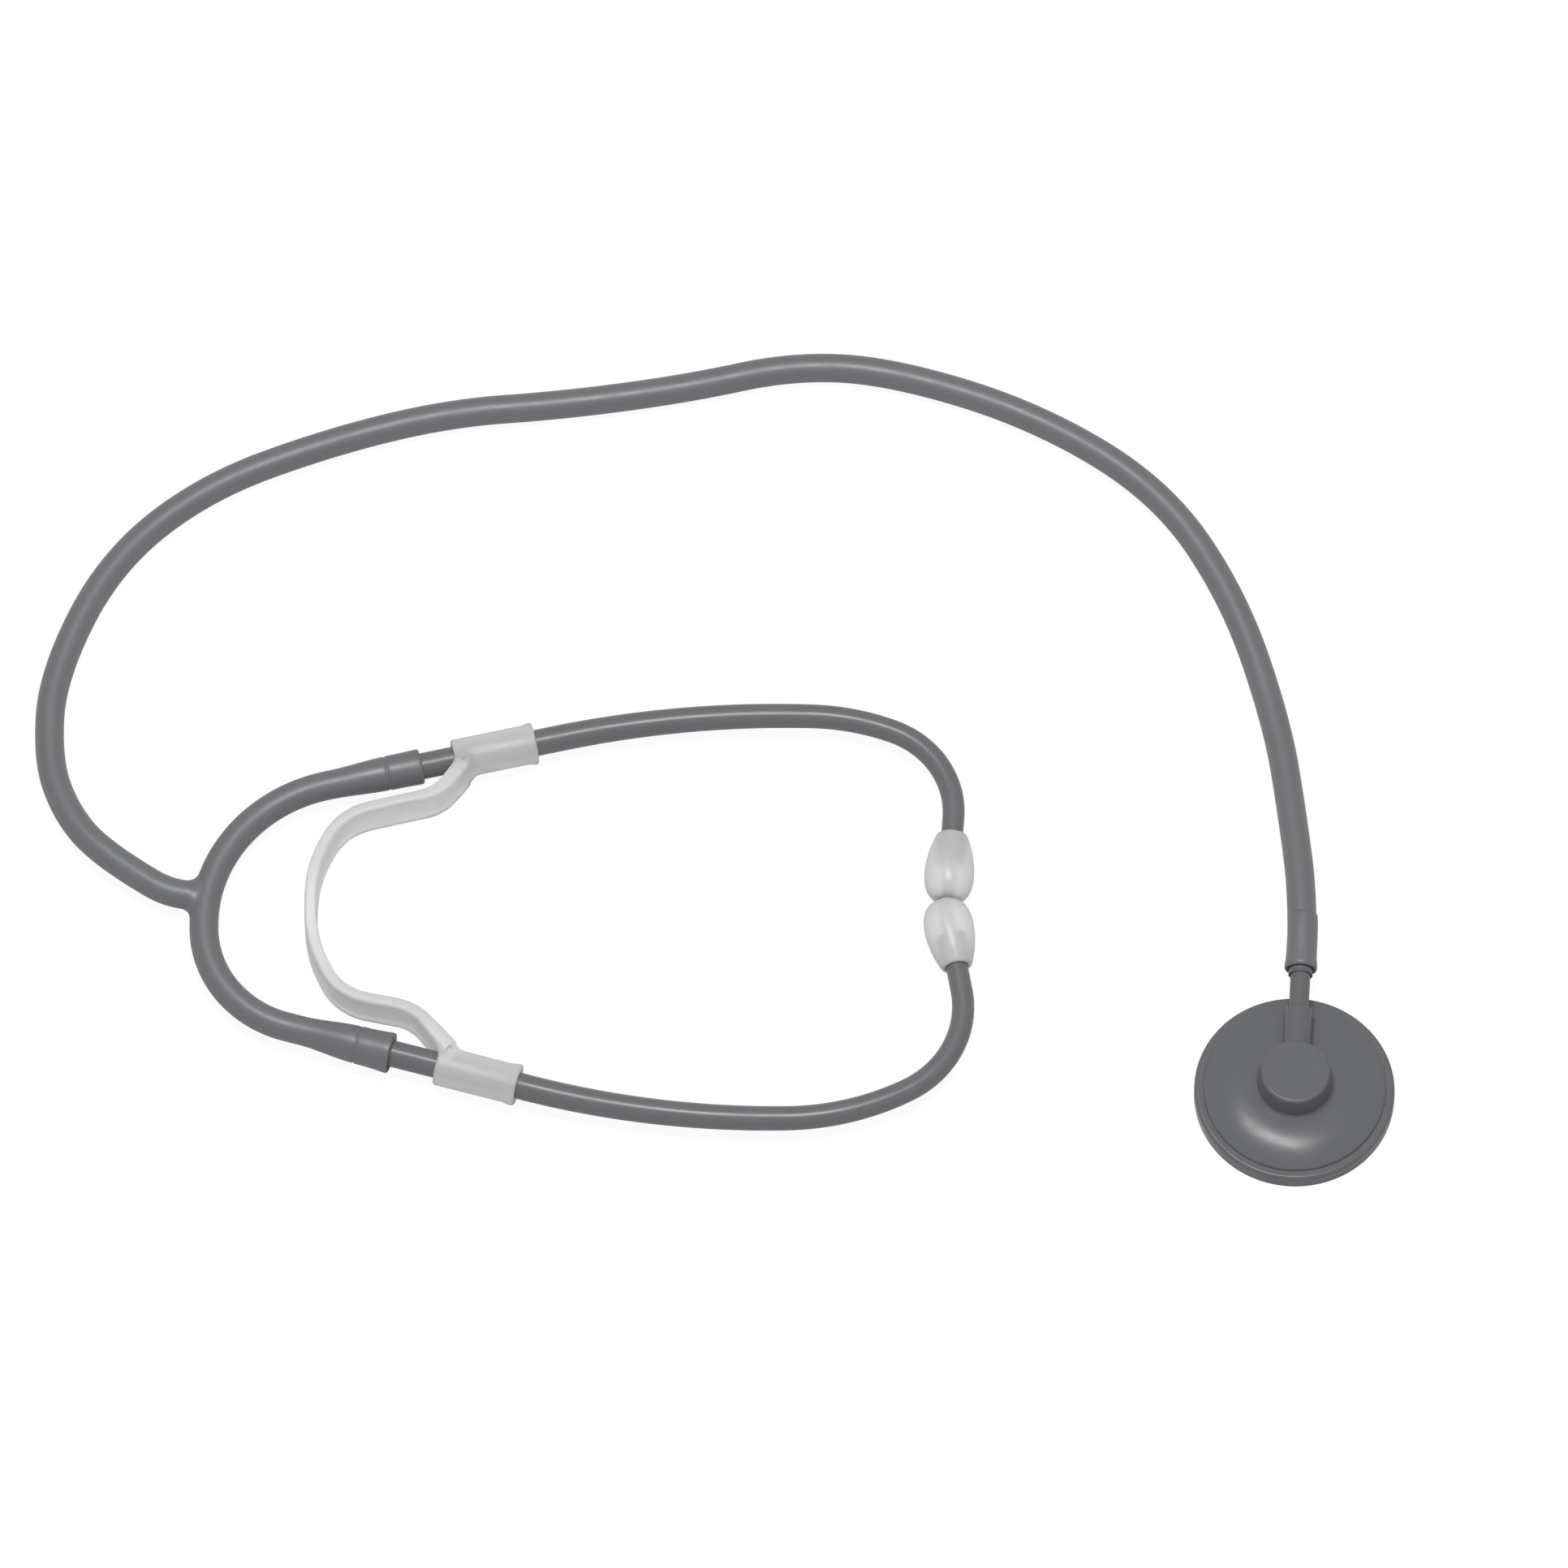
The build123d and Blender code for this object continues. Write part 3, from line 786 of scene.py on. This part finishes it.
def add_world():
    """A white room, brighter to the camera than it is as a light."""
    world = bpy.data.worlds.new("room")
    bpy.context.scene.world = world
    world.use_nodes = True
    nodes = world.node_tree.nodes
    links = world.node_tree.links
    sky = nodes["Background"]
    sky.inputs["Color"].default_value = (1, 1, 1, 1)
    sky.inputs["Strength"].default_value = ROOM_LIGHT
    plain = nodes.new("ShaderNodeBackground")
    plain.inputs["Color"].default_value = (1, 1, 1, 1)
    rays = nodes.new("ShaderNodeLightPath")
    blend = nodes.new("ShaderNodeMixShader")
    links.new(rays.outputs["Is Camera Ray"], blend.inputs[0])
    links.new(sky.outputs["Background"], blend.inputs[1])
    links.new(plain.outputs["Background"], blend.inputs[2])
    links.new(blend.outputs["Shader"], nodes["World Output"].inputs["Surface"])


vinyl = plastic(
    "tubing", dark=(0.148, 0.152, 0.158), light=(0.162, 0.165, 0.172), roughness=(0.38, 0.46),
    grain=1500.0, bump=0.12, constants={"IOR": 1.5, "Specular IOR Level": 0.62},
)
hard_grey = plastic(
    "ear_tubes", dark=(0.145, 0.148, 0.154), light=(0.155, 0.158, 0.164), roughness=(0.28, 0.35),
    grain=2200.0, bump=0.06, constants={"IOR": 1.5, "Specular IOR Level": 0.4},
)
head_grey = plastic(
    "chestpiece", dark=(0.136, 0.139, 0.144), light=(0.144, 0.147, 0.152), roughness=(0.2, 0.27),
    grain=1300.0, bump=0.05, constants={"IOR": 1.5, "Specular IOR Level": 0.2},
)
milky = plastic(
    "spring", dark=(0.9, 0.91, 0.92), light=(0.94, 0.945, 0.95), roughness=(0.4, 0.5),
    grain=900.0, bump=0.05, constants={"IOR": 1.45, "Transmission Weight": 0.6},
)
soft_clear = plastic(
    "ear_tips", dark=(0.84, 0.85, 0.86), light=(0.88, 0.885, 0.89), roughness=(0.32, 0.38),
    grain=500.0, bump=0.03, constants={"IOR": 1.42, "Transmission Weight": 0.5},
)
disc = woven_disc("diaphragm")

add_camera()
add_world()
add_floor()
add_light("window", place=(-0.2, 0.14, 2.2), aim=(-0.05, 0.05, 0), size=(0.3, 0.95), power=32.0)

add_main_tube(vinyl)
bow = y_path()
add_junction(bow, vinyl)
for name, side in SIDES.items():
    add_arm(name, side, bow, vinyl)
    ear_line = ear_path(side)
    add_ear_tube(name, side, ear_line, hard_grey)
    add_ear_tip(name, ear_line, soft_clear)
band = band_path()
for name, side in SIDES.items():
    add_spring_half(name, side, band, milky)

finishes = {"chest_body": head_grey, "stem": head_grey, "diaphragm_ring": head_grey, "diaphragm": disc}
for node, material in finishes.items():
    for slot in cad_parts[node].material_slots:
        slot.material = material

bpy.context.scene.view_settings.view_transform = "Standard"
